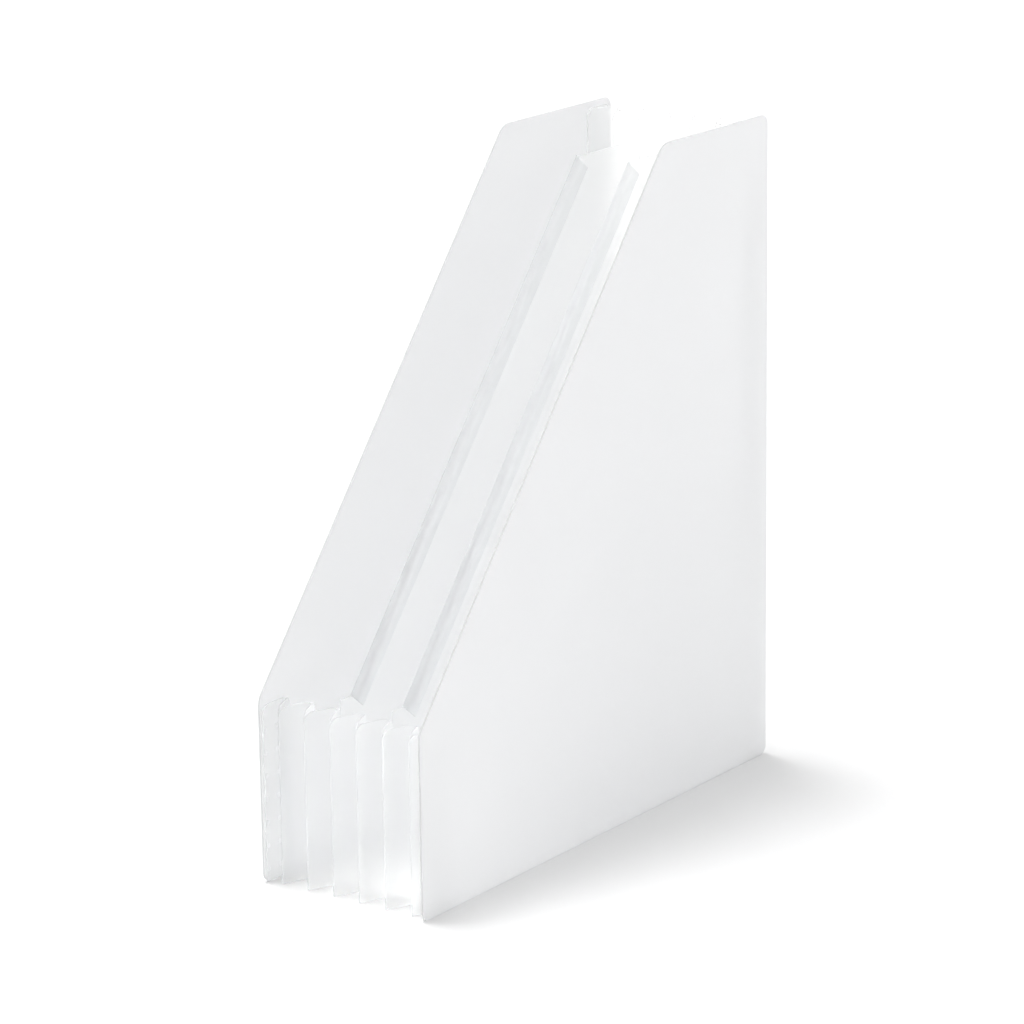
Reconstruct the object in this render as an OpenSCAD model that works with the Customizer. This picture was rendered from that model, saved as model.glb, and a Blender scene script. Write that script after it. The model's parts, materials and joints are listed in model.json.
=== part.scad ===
// Expanding magazine rack in frosted polypropylene sheet.
// Two side panels are joined at the front and the back by pleated strips, and two
// dividers between the strips make three pockets that widen as the rack is pulled open.
// +X is the width, +Y runs to the back, +Z is up. The origin is at the centre of the base.

/* [Side panels] */
// Width over the two side panels, as the rack stands
rack_w = 91; // [60:0.5:120]
// Depth of a side panel, front to back
rack_d = 280; // [240:1:320]
// Height of a side panel at the back
rack_h = 318; // [290:1:340]
// Height of a side panel at the front
front_h = 87; // [60:1:120]
// Length of a side panel's top edge
top_len = 88; // [60:1:120]
// Thickness of a side panel
panel_t = 1; // [0.8:0.1:1.5]
// Radius of a side panel's right-angled corners
corner_r = 4.5; // [2:0.5:10]
// Radius of the two corners where the front slants
slant_r = 9; // [4:0.5:20]

/* [Pleated strips] */
// Width of one pleat face, from fold to fold
face_w = 17.5; // [14:0.1:22]
// Thickness of the pleated strips
pleat_t = 0.5; // [0.4:0.05:0.7]
// Distance of the back folds of a strip from the edge of the side panels
fold_inset = 20; // [18:0.5:24]
// How far the pleats stop below the top of a side panel's edge
pleat_drop = 3; // [1:0.5:6]
// Radius that opens a notch at the top of each fold
notch_r = 4.5; // [1:0.5:6]
// Distance of a welded flange from the edge of the side panel
flange_setback = 1.5; // [0.5:0.5:3]

/* [Dividers] */
// Thickness of a divider
divider_t = 0.5; // [0.4:0.05:0.7]
// How far a divider's slanted edge lies inside that of the side panels
divider_inset = 22; // [12:1:30]
// How far a divider stops below the side panels at the back
divider_drop = 15; // [5:1:30]
// How far a divider stops below the side panels at the front
divider_front_drop = 0.2; // [0:0.1:5]
// Width of the hem folded over along a divider's slanted edge
hem_w = 10; // [6:0.5:14]
// Width of the flap that fixes a divider to a pleat
flap_w = 8; // [5:0.5:10]
// How far a flap stops short of the pleat's lower and upper edges
flap_margin = 6; // [4:0.5:10]
// Radius of a flap's top corners
flap_r = 2; // [0.5:0.5:2.4]

/* [Hidden] */
// Faces of one strip: an even count, with every fourth back fold carrying a divider
faces = 12;
faces_per_pocket = 4;
// Play at the end of each pleat face, and between a divider and its fold
end_play = 0.1;
divider_play = 0.3;
arc_steps = 8;

// Fold lines run from one welded flange to the other, each a face width from the next.
inner_x = rack_w / 2 - panel_t - pleat_t;
fold_pitch = 2 * inner_x / faces;
fold_angle = asin(fold_pitch / face_w);
valley_y = -rack_d / 2 + fold_inset;
peak_y = valley_y - face_w * cos(fold_angle);
// A face has its first fold line on its left side and its last one on its right side,
// so that the faces stack without overlap as the rack closes.
sheet_lean = fold_angle - asin(pleat_t / face_w);
sheet_w = sqrt(face_w * face_w - pleat_t * pleat_t);

front_top = front_h - pleat_drop;
back_top = rack_h - pleat_drop;
divider_y = -valley_y - pleat_t - divider_play;
slant = unit([rack_d - top_len, rack_h - front_h]);

clear_sheet = [0.9, 0.93, 0.95, 0.75];
pleat_sheet = [0.94, 0.95, 0.96, 0.6];

function two_digits(i) = i < 10 ? str("0", i) : str(i);
function pleat_name(side, i) = str(side, "_pleat_", two_digits(i));

function unit(v) = v / norm(v);
function fold_x(i) = -inner_x + i * fold_pitch;
function fold_y(i) = i % 2 == 0 ? valley_y : peak_y;
function divider_fold(k) = k * faces_per_pocket;

// Points of the arc of radius r that rounds the corner p between its neighbours a and b
function rounded(a, p, b, r) =
    let (u = unit(a - p), v = unit(b - p),
         half = acos(u * v) / 2,
         centre = p + unit(u + v) * r / sin(half),
         from = unit(p + u * r / tan(half) - centre),
         to = unit(p + v * r / tan(half) - centre),
         turn = 180 - 2 * half)
    [for (s = [0:arc_steps])
        centre + r * (sin(turn - s * turn / arc_steps) * from + sin(s * turn / arc_steps) * to) / sin(turn)];

// Outline with each corner [point, radius] rounded where its radius is above 0
function outline(corners) =
    let (n = len(corners))
    [for (i = [0:n - 1])
        let (p = corners[i][0], r = corners[i][1])
        each (r == 0 ? [p] : rounded(corners[(i + n - 1) % n][0], p, corners[(i + 1) % n][0], r))];

// Depth at height z of a line parallel to the slanted edge, a distance inset from it
function slant_y(z, inset) = -rack_d / 2 + (z - front_h) * slant.x / slant.y + inset / slant.y;

panel_outline = outline([
    [[-rack_d / 2, 0], corner_r],
    [[-rack_d / 2, front_h], slant_r],
    [[rack_d / 2 - top_len, rack_h], slant_r],
    [[rack_d / 2, rack_h], corner_r],
    [[rack_d / 2, 0], corner_r]
]);

divider_top = rack_h - divider_drop;
divider_front_top = front_h - divider_front_drop;
divider_outline = [
    [-divider_y, 0],
    [-divider_y, divider_front_top],
    [slant_y(divider_front_top, divider_inset), divider_front_top],
    [slant_y(divider_top, divider_inset), divider_top],
    [divider_y, divider_top],
    [divider_y, 0]
];

hem_outline = [
    [slant_y(divider_front_top, divider_inset), divider_front_top],
    [slant_y(divider_top, divider_inset), divider_top],
    [slant_y(divider_top, divider_inset) + hem_w * slant.y, divider_top - hem_w * slant.x],
    [slant_y(divider_front_top, divider_inset) + hem_w * slant.y, divider_front_top - hem_w * slant.x]
];

// A flat sheet standing across X, with its outline in Y and Z
module sheet(points, t) {
    rotate([90, 0, 90]) linear_extrude(t) polygon(points);
}

// A strip of sheet from y0 to y1 with its two top corners rounded
module strip(y0, y1, z0, z1, t, r = notch_r) {
    sheet(outline([[[y0, z0], 0], [[y0, z1], r], [[y1, z1], r], [[y1, z0], 0]]), t);
}

module side_panel() {
    sheet(panel_outline, panel_t);
}

module left_panel() {
    color(clear_sheet) translate([-rack_w / 2, 0, 0]) side_panel();
}

module right_panel() {
    color(clear_sheet) translate([rack_w / 2 - panel_t, 0, 0]) side_panel();
}

// The end of a strip, welded flat on the inner face of the left panel
module front_left_flange(top = front_top) {
    color(pleat_sheet) translate([-inner_x - pleat_t, 0, 0])
        strip(-rack_d / 2 + flange_setback, valley_y - end_play, 0, top, pleat_t);
}

module front_right_flange(top = front_top) {
    mirror([1, 0, 0]) front_left_flange(top);
}

module back_left_flange() {
    mirror([0, 1, 0]) front_left_flange(back_top);
}

module back_right_flange() {
    mirror([0, 1, 0]) front_right_flange(back_top);
}

// Places its children on face i of the front strip: Y runs along the face from its
// first fold, and X is up from its left side. Every second face runs forwards.
module on_face(i) {
    translate([fold_x(i - 1), fold_y(i - 1), 0])
        mirror([0, i % 2, 0])
            rotate([0, 0, -sheet_lean])
                children();
}

module pleat(i, top) {
    color(pleat_sheet) on_face(i) strip(end_play, sheet_w - end_play, 0, top, pleat_t);
}

module front_pleat(i) {
    pleat(i, front_top);
}

module back_pleat(i) {
    mirror([0, 1, 0]) pleat(i, back_top);
}

// The divider sheet, with its hem folded down on its right side
module divider(k) {
    color(pleat_sheet) translate([fold_x(divider_fold(k)) - divider_t / 2, 0, 0]) {
        sheet(divider_outline, divider_t);
        sheet(hem_outline, 2 * divider_t);
    }
}

module divider_1() {
    divider(1);
}

module divider_2() {
    divider(2);
}

// The flap of divider k lies on the right side of the face that leaves its fold
module front_flap(k, top = front_top) {
    color(pleat_sheet) on_face(divider_fold(k) + 1) translate([pleat_t, 0, 0])
        strip(end_play, flap_w, flap_margin, top - flap_margin, divider_t, flap_r);
}

module back_flap(k) {
    mirror([0, 1, 0]) front_flap(k, back_top);
}

left_panel();
right_panel();
front_left_flange();
front_right_flange();
back_left_flange();
back_right_flange();
for (i = [1:faces]) front_pleat(i);
for (i = [1:faces]) back_pleat(i);
divider_1();
divider_2();
front_flap(1);  // front_flap_1
front_flap(2);  // front_flap_2
back_flap(1);  // back_flap_1
back_flap(2);  // back_flap_2
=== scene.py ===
import json
import math

import bmesh
import bpy
from mathutils import Matrix, Vector


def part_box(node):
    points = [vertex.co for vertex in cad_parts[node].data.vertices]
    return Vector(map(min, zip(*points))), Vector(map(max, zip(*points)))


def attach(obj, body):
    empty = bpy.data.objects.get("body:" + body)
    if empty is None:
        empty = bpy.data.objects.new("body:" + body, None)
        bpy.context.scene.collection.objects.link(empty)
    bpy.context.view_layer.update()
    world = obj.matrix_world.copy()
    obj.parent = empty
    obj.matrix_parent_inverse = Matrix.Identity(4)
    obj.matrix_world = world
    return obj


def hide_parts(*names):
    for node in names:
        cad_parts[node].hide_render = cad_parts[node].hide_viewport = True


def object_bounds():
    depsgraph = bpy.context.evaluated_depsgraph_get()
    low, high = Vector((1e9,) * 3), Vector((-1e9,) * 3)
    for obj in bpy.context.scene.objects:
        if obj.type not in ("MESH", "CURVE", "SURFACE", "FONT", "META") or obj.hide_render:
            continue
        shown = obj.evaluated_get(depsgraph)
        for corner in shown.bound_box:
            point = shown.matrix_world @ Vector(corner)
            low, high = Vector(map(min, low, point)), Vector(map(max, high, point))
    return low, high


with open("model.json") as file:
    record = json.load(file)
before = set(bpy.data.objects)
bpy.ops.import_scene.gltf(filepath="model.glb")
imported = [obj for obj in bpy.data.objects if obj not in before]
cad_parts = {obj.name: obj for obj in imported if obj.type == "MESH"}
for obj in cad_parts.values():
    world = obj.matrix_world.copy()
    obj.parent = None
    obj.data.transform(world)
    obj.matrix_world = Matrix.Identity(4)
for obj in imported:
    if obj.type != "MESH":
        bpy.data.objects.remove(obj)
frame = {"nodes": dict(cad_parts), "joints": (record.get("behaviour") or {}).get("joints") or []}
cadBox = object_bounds()
mm = 0.001
print("frame loaded")

# sizes that every piece shares, read from the frame
rackLow, rackHigh = cadBox
rackCentre = (rackLow + rackHigh) / 2
rackSize = rackHigh - rackLow
jointTo = {joint["child"]: Vector(joint["pos_m"]) for joint in frame["joints"]}
faceCount = sum(name.startswith("front_pleat_") for name in frame["nodes"])


def pleatName(side, number):
    return f"{side}_pleat_{number:02d}"


def sizeOf(node):
    low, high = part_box(node)
    return high - low


panelThickness = sizeOf("left_panel").x
sheetThickness = sizeOf("front_left_flange").x
contactGap = 0.03 * mm   # sheets that lie on each other are kept this far apart
mergeGap = 0.002 * mm    # vertices closer than this are one
flatShare = 0.9          # least share of a normal along an axis, for a face to count as square to it


# fold lines of a strip, seen from above: one more than it has faces
def foldLines(side):
    points = [jointTo[pleatName(side, i + 1)] for i in range(faceCount)]
    return points + [Vector((-points[0].x, points[0].y, 0))]


folds = {side: foldLines(side) for side in ("front", "back")}


# a flat face across X with its corners rounded; corners are (y, z, radius)
def roundedFace(bm, corners, x=0.0, segments=10):
    verts = [bm.verts.new((x, y, z)) for y, z, radius in corners]
    bm.faces.new(verts)
    for vert, (y, z, radius) in zip(verts, corners):
        if radius <= 0:
            continue
        arms = [(edge.other_vert(vert).co - vert.co).normalized() for edge in vert.link_edges]
        reach = radius / math.tan(arms[0].angle(arms[1]) / 2)
        bmesh.ops.bevel(bm, geom=[vert], offset=reach, affect="VERTICES", segments=segments,
                        profile=0.5, material=-1)


# pulls every face along X into a solid sheet
def thicken(bm, thickness):
    made = bmesh.ops.extrude_face_region(bm, geom=bm.faces[:])
    moved = [item for item in made["geom"] if isinstance(item, bmesh.types.BMVert)]
    bmesh.ops.translate(bm, verts=moved, vec=(thickness, 0, 0))
    bmesh.ops.recalc_face_normals(bm, faces=bm.faces[:])


# rounds the edges that match, and leaves the new faces smooth
def roundEdges(bm, edges, offset, segments, materialIndex=-1):
    made = bmesh.ops.bevel(bm, geom=edges, offset=offset, affect="EDGES", segments=segments,
                           profile=0.5, material=materialIndex, clamp_overlap=True)
    for face in made["faces"]:
        face.smooth = True


def sharpEdges(bm, least=math.radians(57)):
    return [edge for edge in bm.edges if edge.is_manifold and edge.calc_face_angle() > least]


# marks the narrow faces that a knife cut, which take the piece's second material, darker with painted
# shade
def markCutEdges(bm):
    for face in bm.faces:
        if abs(face.normal.x) < flatShare:
            face.material_index = 1


# turns a bmesh into a finished piece that rides on its body and stands for its nodes
def finishPiece(name, bm, materials, body, nodes=()):
    bmesh.ops.remove_doubles(bm, verts=bm.verts[:], dist=mergeGap)
    bmesh.ops.recalc_face_normals(bm, faces=bm.faces[:])
    mesh = bpy.data.meshes.new(name)
    bm.to_mesh(mesh)
    bm.free()
    for material in materials:
        mesh.materials.append(plastic[material])
    piece = bpy.data.objects.new(name, mesh)
    bpy.context.scene.collection.objects.link(piece)
    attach(piece, body)
    if nodes:
        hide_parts(*nodes)
    return piece


# frosted polypropylene sheet, and its cut edges, folds and welds; clear is the share sent on with
# a blur, milk the share scattered evenly to the far side, and 1 - alpha the share that is not touched
sheets = {
    "frostedPanelSheet": {
        "tint": (0.948, 0.950, 0.955), "roughness": 0.8,
        "clear": 0.22, "milk": 0.38, "haze": 0.012, "alpha": 1,
    },
    "frostedPleatSheet": {
        "tint": (0.974, 0.977, 0.976), "roughness": 0.68,
        "clear": 0.94, "milk": 0.04, "haze": 0.01, "alpha": 0.42,
    },
    "frostedDividerSheet": {
        "tint": (0.980, 0.983, 0.982), "roughness": 0.68,
        "clear": 0.94, "milk": 0.04, "haze": 0.01, "alpha": 0.42,
    },
    # darker tint: painted shade along the side panels' cut edges
    "shadedPanelEdge": {
        "tint": (0.78, 0.785, 0.79), "roughness": 0.8,
        "clear": 0.2, "milk": 0.3, "haze": 0.08, "alpha": 1,
    },
    # darker tint: painted shade along the thin sheets' cut edges, the pleats' tops and bottoms and the
    # dividers' rims
    "shadedThinSheetEdge": {
        "tint": (0.90, 0.905, 0.91), "roughness": 0.68,
        "clear": 0.8, "milk": 0.05, "haze": 0.04, "alpha": 0.42,
    },
    # darker tint: painted shade along the folds and on the divider hems
    "shadedFold": {
        "tint": (0.90, 0.91, 0.92), "roughness": 0.68,
        "clear": 0.9, "milk": 0.04, "haze": 0.03, "alpha": 0.5,
    },
    # darker tint: painted shade of the dimpled weld rings
    "shadedWeldSpot": {
        "tint": (0.92, 0.925, 0.93), "roughness": 0.68,
        "clear": 0.7, "milk": 0.08, "haze": 0.05, "alpha": 0.5,
    },
}
sheetFinish = {
    "grainScale": 2600.0,    # matte grain of the rollers, per metre
    "hazeScale": 22.0,       # slow change in how milky the sheet is
    "scuffScale": 240.0,     # light handling marks
    "scuffFloor": 0.6,       # noise below this leaves no mark
    "scuffRoughness": 0.3,
    "scuffDepth": 0.6,       # share of the grain's height that a mark rubs off
    "hazeRoughness": 0.08,
    "grainDepth": 0.03 * mm,
    "bump": 0.2,
    "blur": 1.1,             # index that sets how far the sheet blurs what is behind it
    "sheen": 0.35,
    "sheenRoughness": 0.4,
}


# matte grain, slow haze and light scuffs of extruded sheet, as colour, roughness and height
def buildSheetDetail():
    group = bpy.data.node_groups.new("frostedSheetDetail", "ShaderNodeTree")
    inputs = {
        "Vector": ("Vector", (0, 0, 0)),
        "Tint": ("Color", (1, 1, 1, 1)),
        "Grain Scale": ("Float", sheetFinish["grainScale"]),
        "Haze Scale": ("Float", sheetFinish["hazeScale"]),
        "Scuff Scale": ("Float", sheetFinish["scuffScale"]),
        "Roughness": ("Float", 0.8),
        "Haze Amount": ("Float", 0.01),
    }
    for name, (kind, value) in inputs.items():
        socket = group.interface.new_socket(name, in_out="INPUT", socket_type=f"NodeSocket{kind}")
        socket.default_value = value
    for name, kind in {"Color": "Color", "Roughness": "Float", "Height": "Float"}.items():
        group.interface.new_socket(name, in_out="OUTPUT", socket_type=f"NodeSocket{kind}")
    source = group.nodes.new("NodeGroupInput").outputs
    result = group.nodes.new("NodeGroupOutput").inputs
    connect = group.links.new

    def noise(scaleName, detail, roughness):
        node = group.nodes.new("ShaderNodeTexNoise")
        node.inputs["Detail"].default_value = detail
        node.inputs["Roughness"].default_value = roughness
        connect(source["Vector"], node.inputs["Vector"])
        connect(source[scaleName], node.inputs["Scale"])
        return node.outputs["Fac"]

    def maths(operation, *values):
        node = group.nodes.new("ShaderNodeMath")
        node.operation = operation
        for socket, value in zip(node.inputs, values):
            if isinstance(value, (int, float)):
                socket.default_value = value
            else:
                connect(value, socket)
        return node.outputs["Value"]

    grain = noise("Grain Scale", 2.0, 0.6)
    haze = noise("Haze Scale", 4.0, 0.55)
    scuffs = noise("Scuff Scale", 5.0, 0.7)
    scuff = maths("MAXIMUM", maths("SUBTRACT", scuffs, sheetFinish["scuffFloor"]), 0.0)
    shade = maths("SUBTRACT", 1.0, maths("MULTIPLY", haze, source["Haze Amount"]))
    tinted = group.nodes.new("ShaderNodeVectorMath")
    tinted.operation = "SCALE"
    connect(source["Tint"], tinted.inputs[0])
    connect(shade, tinted.inputs["Scale"])
    connect(tinted.outputs["Vector"], result["Color"])
    hazeShift = maths("SUBTRACT", haze, 0.5)    # the noise runs about 0.5
    hazeRoughness = maths("MULTIPLY_ADD", hazeShift, sheetFinish["hazeRoughness"], source["Roughness"])
    scuffed = maths("MULTIPLY_ADD", scuff, sheetFinish["scuffRoughness"], hazeRoughness)
    connect(scuffed, result["Roughness"])
    connect(maths("MULTIPLY_ADD", scuff, -sheetFinish["scuffDepth"], grain), result["Height"])
    return group


def buildSheetMaterial(name, sheet, detailGroup):
    material = bpy.data.materials.new(name)
    material.use_nodes = True
    nodes, connect = material.node_tree.nodes, material.node_tree.links.new
    shader, output = nodes["Principled BSDF"], nodes["Material Output"]
    coordinates = nodes.new("ShaderNodeTexCoord")
    detail = nodes.new("ShaderNodeGroup")
    detail.node_tree = detailGroup
    bump = nodes.new("ShaderNodeBump")
    milk = nodes.new("ShaderNodeBsdfTranslucent")
    mixed = nodes.new("ShaderNodeMixShader")
    detailValues = {
        "Tint": (*sheet["tint"], 1),
        "Roughness": sheet["roughness"],
        "Haze Amount": sheet["haze"],
        "Grain Scale": sheetFinish["grainScale"],
        "Haze Scale": sheetFinish["hazeScale"],
        "Scuff Scale": sheetFinish["scuffScale"],
    }
    shaderValues = {
        "IOR": sheetFinish["blur"],
        "Transmission Weight": sheet["clear"],
        "Alpha": sheet["alpha"],
        "Coat Weight": sheetFinish["sheen"],
        "Coat Roughness": sheetFinish["sheenRoughness"],
    }
    for socket, value in detailValues.items():
        detail.inputs[socket].default_value = value
    for socket, value in shaderValues.items():
        shader.inputs[socket].default_value = value
    bump.inputs["Strength"].default_value = sheetFinish["bump"]
    bump.inputs["Distance"].default_value = sheetFinish["grainDepth"]
    mixed.inputs["Fac"].default_value = sheet["milk"]
    connect(coordinates.outputs["Object"], detail.inputs["Vector"])
    connect(detail.outputs["Color"], shader.inputs["Base Color"])
    connect(detail.outputs["Color"], milk.inputs["Color"])
    connect(detail.outputs["Roughness"], shader.inputs["Roughness"])
    connect(detail.outputs["Height"], bump.inputs["Height"])
    connect(bump.outputs["Normal"], shader.inputs["Normal"])
    connect(shader.outputs["BSDF"], mixed.inputs[1])
    connect(milk.outputs["BSDF"], mixed.inputs[2])
    connect(mixed.outputs["Shader"], output.inputs["Surface"])
    return material


sheetDetail = buildSheetDetail()
plastic = {name: buildSheetMaterial(name, sheet, sheetDetail) for name, sheet in sheets.items()}
pleatMaterials = ["frostedPleatSheet", "shadedThinSheetEdge", "shadedFold"]
dividerMaterials = ["frostedDividerSheet", "shadedThinSheetEdge", "shadedFold"]
print("materials made")


# side panels
sidePanel = {
    "frontHeight": 87 * mm,     # height of the front edge
    "topLength": 88 * mm,       # length of the top edge
    "cornerRadius": 4.5 * mm,
    "slantRadius": 9 * mm,
    "edgeRadius": 0.22 * mm,    # softened cut edge
}


def buildSidePanel(node, pieceName):
    low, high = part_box(node)
    corner, slant = sidePanel["cornerRadius"], sidePanel["slantRadius"]
    bm = bmesh.new()
    roundedFace(bm, [
        (low.y, low.z, corner),
        (low.y, sidePanel["frontHeight"], slant),
        (high.y - sidePanel["topLength"], high.z, slant),
        (high.y, high.z, corner),
        (high.y, low.z, corner),
    ], x=low.x)
    thicken(bm, panelThickness)
    roundEdges(bm, sharpEdges(bm), sidePanel["edgeRadius"], 2)
    markCutEdges(bm)
    return finishPiece(pieceName, bm, ["frostedPanelSheet", "shadedPanelEdge"], node, [node])


buildSidePanel("left_panel", "leftPanel")
buildSidePanel("right_panel", "rightPanel")
print("side panels made")


# pleated strips
strip = {
    "notchRadius": 4.5 * mm,    # rounds the top corners of each face, so a notch opens over each fold
    "foldRound": 0.97,          # share of the thickness that the outside of a fold is rounded over
}


# the frame of one pleat face: X is through the sheet, Y along the face, Z up
def faceFrame(side, number):
    start, end = folds[side][number - 1], folds[side][number]
    along = (end - start).to_2d()
    across = Vector((abs(along.y), -along.x * math.copysign(1, along.y)))
    length = math.sqrt(along.length_squared - sheetThickness ** 2)
    direction = (length * along - sheetThickness * across) / along.length_squared
    through = (sheetThickness * along + length * across) / along.length_squared
    matrix = Matrix((
        (through.x, direction.x, 0, start.x),
        (through.y, direction.y, 0, start.y),
        (0, 0, 1, 0),
        (0, 0, 0, 1),
    ))
    return matrix, length


def buildPleat(side, number):
    node = pleatName(side, number)
    low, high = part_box(node)
    matrix, length = faceFrame(side, number)
    thickness = sheetThickness
    bm = bmesh.new()
    roundedFace(bm, [
        (-thickness, low.z, 0),
        (-thickness, high.z, strip["notchRadius"]),
        (length + thickness, high.z, strip["notchRadius"]),
        (length + thickness, low.z, 0),
    ], segments=6)
    thicken(bm, thickness)

    # the outside of the fold is rounded: at the right of the face's start, and at the left of its end
    def standing(edge, x, y):
        return all(abs(v.co.x - x) + abs(v.co.y - y) < mergeGap for v in edge.verts)

    foldEdges = [edge for edge in bm.edges
                 if standing(edge, thickness, -thickness) or standing(edge, 0, length + thickness)]
    # the top and bottom take the edge material, darker with painted shade
    for face in bm.faces:
        if abs(face.normal.z) > 1 - flatShare:    # the top, its rounded corners and the bottom
            face.material_index = 1
    # the rounds take the fold material, darker with painted shade
    roundEdges(bm, foldEdges, thickness * strip["foldRound"], 4, materialIndex=2)
    bm.transform(matrix)
    return finishPiece(f"{side}Pleat{number:02d}", bm, pleatMaterials, node, [node])


for side in ("front", "back"):
    for i in range(faceCount):
        buildPleat(side, i + 1)
print("pleats made")


# a flange of a strip, welded on the inside of a side panel
def buildFlange(depth, hand):
    node = f"{depth}_{hand}_flange"
    low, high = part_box(node)
    if depth == "front":
        edgeSide, foldEnd = low.y, high.y + sheetThickness
    else:
        edgeSide, foldEnd = high.y, low.y - sheetThickness
    bm = bmesh.new()
    roundedFace(bm, [
        (edgeSide, low.z, 0),
        (edgeSide, high.z, strip["notchRadius"]),
        (foldEnd, high.z, strip["notchRadius"]),
        (foldEnd, low.z, 0),
    ], segments=6)
    thicken(bm, sheetThickness - contactGap)
    shift = low.x + (contactGap if hand == "left" else 0)    # the gap is on the panel's side
    bmesh.ops.translate(bm, verts=bm.verts[:], vec=(shift, 0, 0))
    name = f"{depth}{hand.title()}Flange"
    return finishPiece(name, bm, pleatMaterials, f"{hand}_panel", [node])


for depth in ("front", "back"):
    for hand in ("left", "right"):
        buildFlange(depth, hand)
print("flanges made")


# spot welds, as the small rings that the welding head leaves
weld = {
    "radius": 1.3 * mm,
    "rim": 0.10 * mm,          # height of the ring over the sheet
    "dish": 0.04 * mm,         # height of its middle
    "gap": 0.01 * mm,
    "steps": 10,
    "shares": (1, 0.86, 0.62, 0.42),     # of the radius: foot, outer rim, inner rim and dish
    "columns": (3.1 * mm, 11.3 * mm),    # from the side panel's edge
    "lowest": 6 * mm,
    "pitch": 11.07 * mm,
    "topMargin": 5 * mm,
}


# one closed ring with a dished middle, spun round Z
def buildRing():
    heights = (0, weld["rim"], weld["rim"], weld["dish"])
    profile = [(weld["radius"] * share, height) for share, height in zip(weld["shares"], heights)]
    profile.append((0, weld["dish"]))
    bm = bmesh.new()
    verts = [bm.verts.new((reach, 0, height)) for reach, height in profile]
    edges = [bm.edges.new(pair) for pair in zip(verts, verts[1:])]
    bmesh.ops.spin(bm, geom=verts + edges, axis=(0, 0, 1), angle=2 * math.pi, steps=weld["steps"],
                   use_merge=True)
    bmesh.ops.remove_doubles(bm, verts=bm.verts[:], dist=mergeGap)
    bmesh.ops.contextual_create(bm, geom=[edge for edge in bm.edges if edge.is_boundary])
    ring = bpy.data.meshes.new("ring")
    bm.to_mesh(ring)
    bm.free()
    return ring


# rings at all the places, as one piece
def buildWelds(pieceName, places, outward, body):
    ring = buildRing()
    turn = outward.to_track_quat("Z", "Y").to_matrix().to_4x4()
    bm = bmesh.new()
    for place in places:
        first = len(bm.verts)
        bm.from_mesh(ring)
        bm.verts.ensure_lookup_table()
        matrix = Matrix.Translation(place + outward * weld["gap"]) @ turn
        bmesh.ops.transform(bm, matrix=matrix, verts=bm.verts[first:])
    bpy.data.meshes.remove(ring)
    for face in bm.faces:
        face.smooth = len(face.verts) <= 4    # all but the flat foot
    # the rings take the weld material, darker with painted shade
    return finishPiece(pieceName, bm, ["shadedWeldSpot"], body)


def weldHeights(top):
    count = int((top - weld["topMargin"] - weld["lowest"]) / weld["pitch"]) + 1
    return [weld["lowest"] + i * weld["pitch"] for i in range(count)]


for depth in ("front", "back"):
    for hand in ("left", "right"):
        low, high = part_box(f"{depth}_{hand}_flange")
        inside = high.x if hand == "left" else low.x
        outward = Vector((1 if hand == "left" else -1, 0, 0))
        edge, inwards = (rackLow.y, 1) if depth == "front" else (rackHigh.y, -1)
        places = [Vector((inside, edge + inwards * column, z))
                  for z in weldHeights(high.z) for column in weld["columns"]]
        buildWelds(f"{depth}{hand.title()}Welds", places, outward, f"{hand}_panel")
print("welds made")


# dividers, each with a hem folded over along its slanted edge
divider = {
    "thickness": 0.5 * mm,
    "hemWidth": 10 * mm,
    "foldRadius": 0.42 * mm,     # of the middle of the sheet, round the hem's fold
    "foldSegments": 6,
    "frontTop": 86.8 * mm,       # height of the short level edge at the front
    "inset": 22 * mm,            # of the slanted edge, from that of the side panels
    "reach": 0.2 * mm,           # how far it runs on towards the folds that carry it
}


def buildDivider(node):
    low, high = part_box(node)
    x = low.x + divider["thickness"] / 2
    slantRise = rackHigh.z - sidePanel["frontHeight"]
    panelSlant = Vector((0, rackSize.y - sidePanel["topLength"], slantRise)).normalized()

    def slantedY(z):
        panelY = rackLow.y + (z - sidePanel["frontHeight"]) * panelSlant.y / panelSlant.z
        return panelY + divider["inset"] / panelSlant.z

    yFront, yBack = low.y - divider["reach"], high.y + divider["reach"]
    frontTop = divider["frontTop"]
    bottomOfSlant = Vector((x, slantedY(frontTop), frontTop))
    topOfSlant = Vector((x, slantedY(high.z), high.z))
    bm = bmesh.new()
    verts = [bm.verts.new(co) for co in (
        (x, yFront, low.z), (x, yFront, frontTop), bottomOfSlant, topOfSlant,
        (x, yBack, high.z), (x, yBack, low.z))]
    bm.faces.new(verts)
    # the sheet is folded over its slanted edge, and laid back down on its right side
    slantEdge = bm.edges.get((verts[2], verts[3]))
    foldCentre = bottomOfSlant + Vector((divider["foldRadius"], 0, 0))
    flatFaces = set(bm.faces)
    made = bmesh.ops.spin(bm, geom=[slantEdge], cent=foldCentre, axis=panelSlant, angle=-math.pi,
                          steps=divider["foldSegments"], use_merge=False, use_normal_flip=False)
    lastEdges = [item for item in made["geom_last"] if isinstance(item, bmesh.types.BMEdge)]
    hem = bmesh.ops.extrude_edge_only(bm, edges=lastEdges)
    hemVerts = [item for item in hem["geom"] if isinstance(item, bmesh.types.BMVert)]
    inward = Vector((0, panelSlant.z, -panelSlant.y))
    bmesh.ops.translate(bm, verts=hemVerts, vec=inward * divider["hemWidth"])
    # the fold and hem take the fold material, darker with painted shade
    for face in bm.faces:
        if face not in flatFaces:
            face.smooth = True
            face.material_index = 2
    piece = finishPiece(node.replace("_", ""), bm, dividerMaterials, node, [node])
    solid = piece.modifiers.new("sheet", "SOLIDIFY")
    solid.thickness = divider["thickness"]
    solid.offset = 0
    solid.use_even_offset = True
    # the rim takes the edge material, darker with painted shade
    solid.material_offset_rim = 1
    return piece


for node in ("divider_1", "divider_2"):
    buildDivider(node)
print("dividers made")


# flaps that fix the dividers to the pleats
flap = {
    "cornerRadius": 2 * mm,
    "weldColumn": 4.5 * mm,    # from the fold
}


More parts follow.
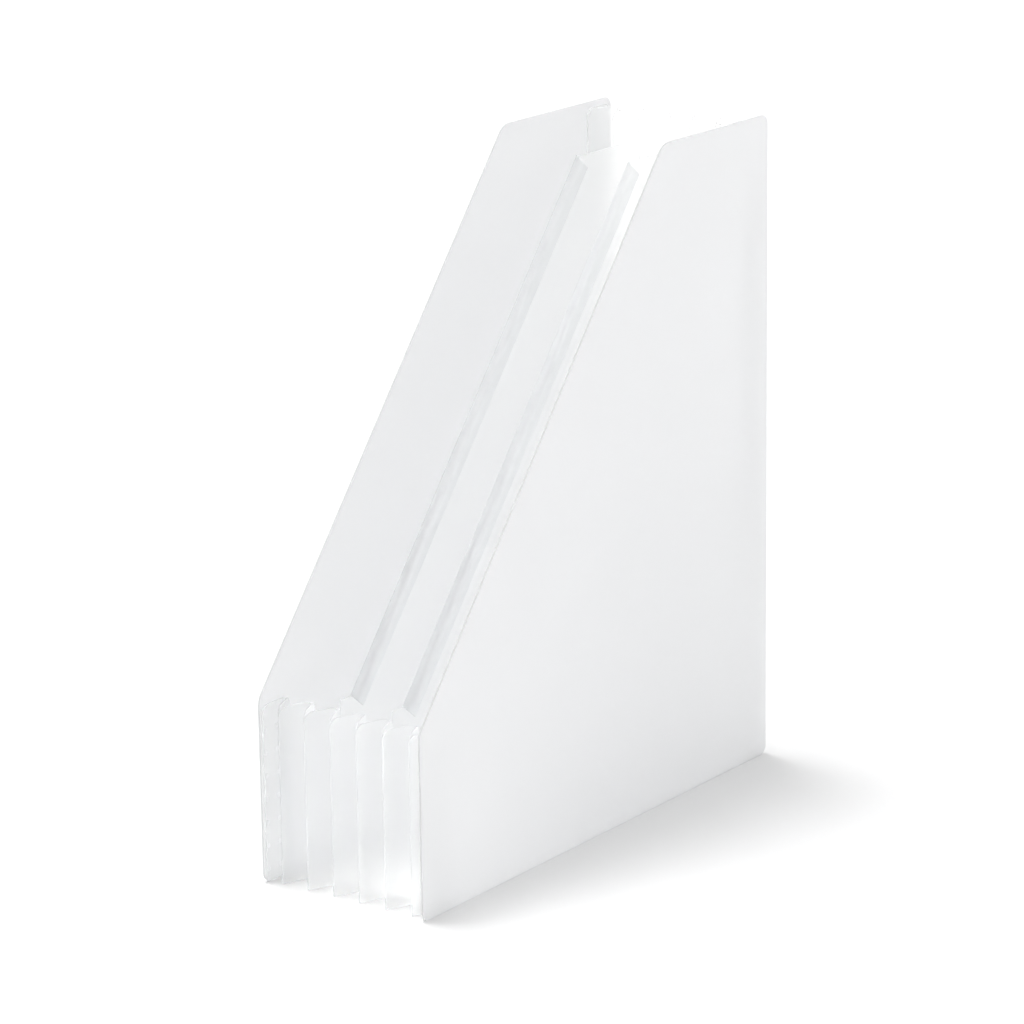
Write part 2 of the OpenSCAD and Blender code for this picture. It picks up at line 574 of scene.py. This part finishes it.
def buildFlap(side, number, carrier):
    node = f"{side}_flap_{number}"
    low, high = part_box(node)
    matrix = faceFrame(side, carrier)[0]
    corners = [Vector((x, y, 0)) for x in (low.x, high.x) for y in (low.y, high.y)]
    width = max((matrix.inverted() @ corner).y for corner in corners)
    radius = flap["cornerRadius"]
    bm = bmesh.new()
    roundedFace(bm, [
        (-sheetThickness / 2, low.z, 0),
        (-sheetThickness / 2, high.z, radius),
        (width, high.z, radius),
        (width, low.z, radius),
    ], x=sheetThickness + contactGap, segments=4)
    thicken(bm, divider["thickness"])
    bm.transform(matrix)
    body = pleatName(side, carrier)
    return finishPiece(f"{side}Flap{number}", bm, dividerMaterials, body, [node])


# one column of welds up the middle of a flap
def buildFlapWelds(side, number, carrier):
    low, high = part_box(f"{side}_flap_{number}")
    matrix = faceFrame(side, carrier)[0]
    outer = sheetThickness + contactGap + divider["thickness"]
    places = [matrix @ Vector((outer, flap["weldColumn"], z)) for z in weldHeights(high.z) if z > low.z]
    outward = matrix.to_3x3() @ Vector((1, 0, 0))
    buildWelds(f"{side}Flap{number}Welds", places, outward, pleatName(side, carrier))


for side in ("front", "back"):
    for number in (1, 2):
        carrier = number * faceCount // 3 + 1
        buildFlap(side, number, carrier)
        buildFlapWelds(side, number, carrier)
print("flaps made")


# floor and light
studio = {
    "floorSize": 30.0,
    "floorColour": (0.95, 0.95, 0.95),
    "floorRoughness": 0.9,
    "floorGap": 0.05 * mm,    # under the rack
    "horizonLight": 1.12,
    "overheadLight": 0.42,
    "keyStrength": 1.7,
    "keyHeight": 77.0,    # degrees above the floor
    "keyTurn": 180.0,     # degrees round from +X: it comes from the left
    "keySpread": 22.0,    # degrees across, which softens the shadow
}


def buildFloor():
    bm = bmesh.new()
    bmesh.ops.create_grid(bm, x_segments=1, y_segments=1, size=studio["floorSize"] / 2)
    mesh = bpy.data.meshes.new("floor")
    bm.to_mesh(mesh)
    bm.free()
    material = bpy.data.materials.new("paleFloor")
    material.use_nodes = True
    shader = material.node_tree.nodes["Principled BSDF"]
    shader.inputs["Base Color"].default_value = (*studio["floorColour"], 1)
    shader.inputs["Roughness"].default_value = studio["floorRoughness"]
    shader.inputs["Specular IOR Level"].default_value = 0.0
    mesh.materials.append(material)
    floor = bpy.data.objects.new("floor", mesh)
    floor.location.z = rackLow.z - studio["floorGap"]
    bpy.context.scene.collection.objects.link(floor)


def buildLight():
    world = bpy.data.worlds.new("studio")
    world.use_nodes = True
    background = world.node_tree.nodes["Background"]
    background.inputs["Color"].default_value = (1, 1, 1, 1)
    coordinates = world.node_tree.nodes.new("ShaderNodeTexCoord")
    height = world.node_tree.nodes.new("ShaderNodeSeparateXYZ")
    strength = world.node_tree.nodes.new("ShaderNodeMapRange")
    strength.inputs["To Min"].default_value = studio["horizonLight"]
    strength.inputs["To Max"].default_value = studio["overheadLight"]
    world.node_tree.links.new(coordinates.outputs["Generated"], height.inputs["Vector"])
    world.node_tree.links.new(height.outputs["Z"], strength.inputs["Value"])
    world.node_tree.links.new(strength.outputs["Result"], background.inputs["Strength"])
    bpy.context.scene.world = world
    lamp = bpy.data.lights.new("key", "SUN")
    lamp.energy = studio["keyStrength"]
    lamp.angle = math.radians(studio["keySpread"])
    key = bpy.data.objects.new("key", lamp)
    tilt, turn = math.radians(studio["keyHeight"]), math.radians(studio["keyTurn"])
    towards = Vector((math.cos(tilt) * math.cos(turn), math.cos(tilt) * math.sin(turn), math.sin(tilt)))
    key.location = rackCentre + towards
    key.rotation_euler = towards.to_track_quat("Z", "Y").to_euler()
    bpy.context.scene.collection.objects.link(key)


# the camera looks at a point near the middle of the rack; angles are in degrees
view = {
    "azimuth": 36.07,
    "elevation": 15.61,
    "roll": -0.76,
    "distance": 1.99005,        # metres
    "lens": 151.17,             # millimetres, as the sensor's width is
    "sensorWidth": 36,
    "sideways": -4.07 * mm,     # of the point looked at, from the middle of the rack
    "upwards": -9.95 * mm,
    "clip": (0.05, 100),
}


def buildCamera():
    azimuth, elevation, roll = (math.radians(view[key]) for key in ("azimuth", "elevation", "roll"))
    back = Vector((math.sin(azimuth) * math.cos(elevation), -math.cos(azimuth) * math.cos(elevation),
                   math.sin(elevation)))
    right = Vector((math.cos(azimuth), math.sin(azimuth), 0))
    above = back.cross(right)
    target = rackCentre + right * view["sideways"] + above * view["upwards"]
    turnedRight = math.cos(roll) * right + math.sin(roll) * above
    turnedUp = back.cross(turnedRight)
    lens = bpy.data.cameras.new("camera")
    lens.lens = view["lens"]
    lens.sensor_width = view["sensorWidth"]
    camera = bpy.data.objects.new("camera", lens)
    camera.matrix_world = Matrix.Translation(target + back * view["distance"]) @ Matrix(
        (turnedRight, turnedUp, back)).transposed().to_4x4()
    lens.clip_start, lens.clip_end = view["clip"]
    bpy.context.scene.collection.objects.link(camera)
    bpy.context.scene.camera = camera


buildFloor()
buildLight()
buildCamera()
bpy.context.scene.view_settings.view_transform = "Standard"
# light passes through many sheets before it leaves the rack
cycles = bpy.context.scene.cycles
cycles.transparent_max_bounces = 64
cycles.max_bounces = cycles.transmission_bounces = 40
cycles.diffuse_bounces = cycles.glossy_bounces = 16
print("studio made")
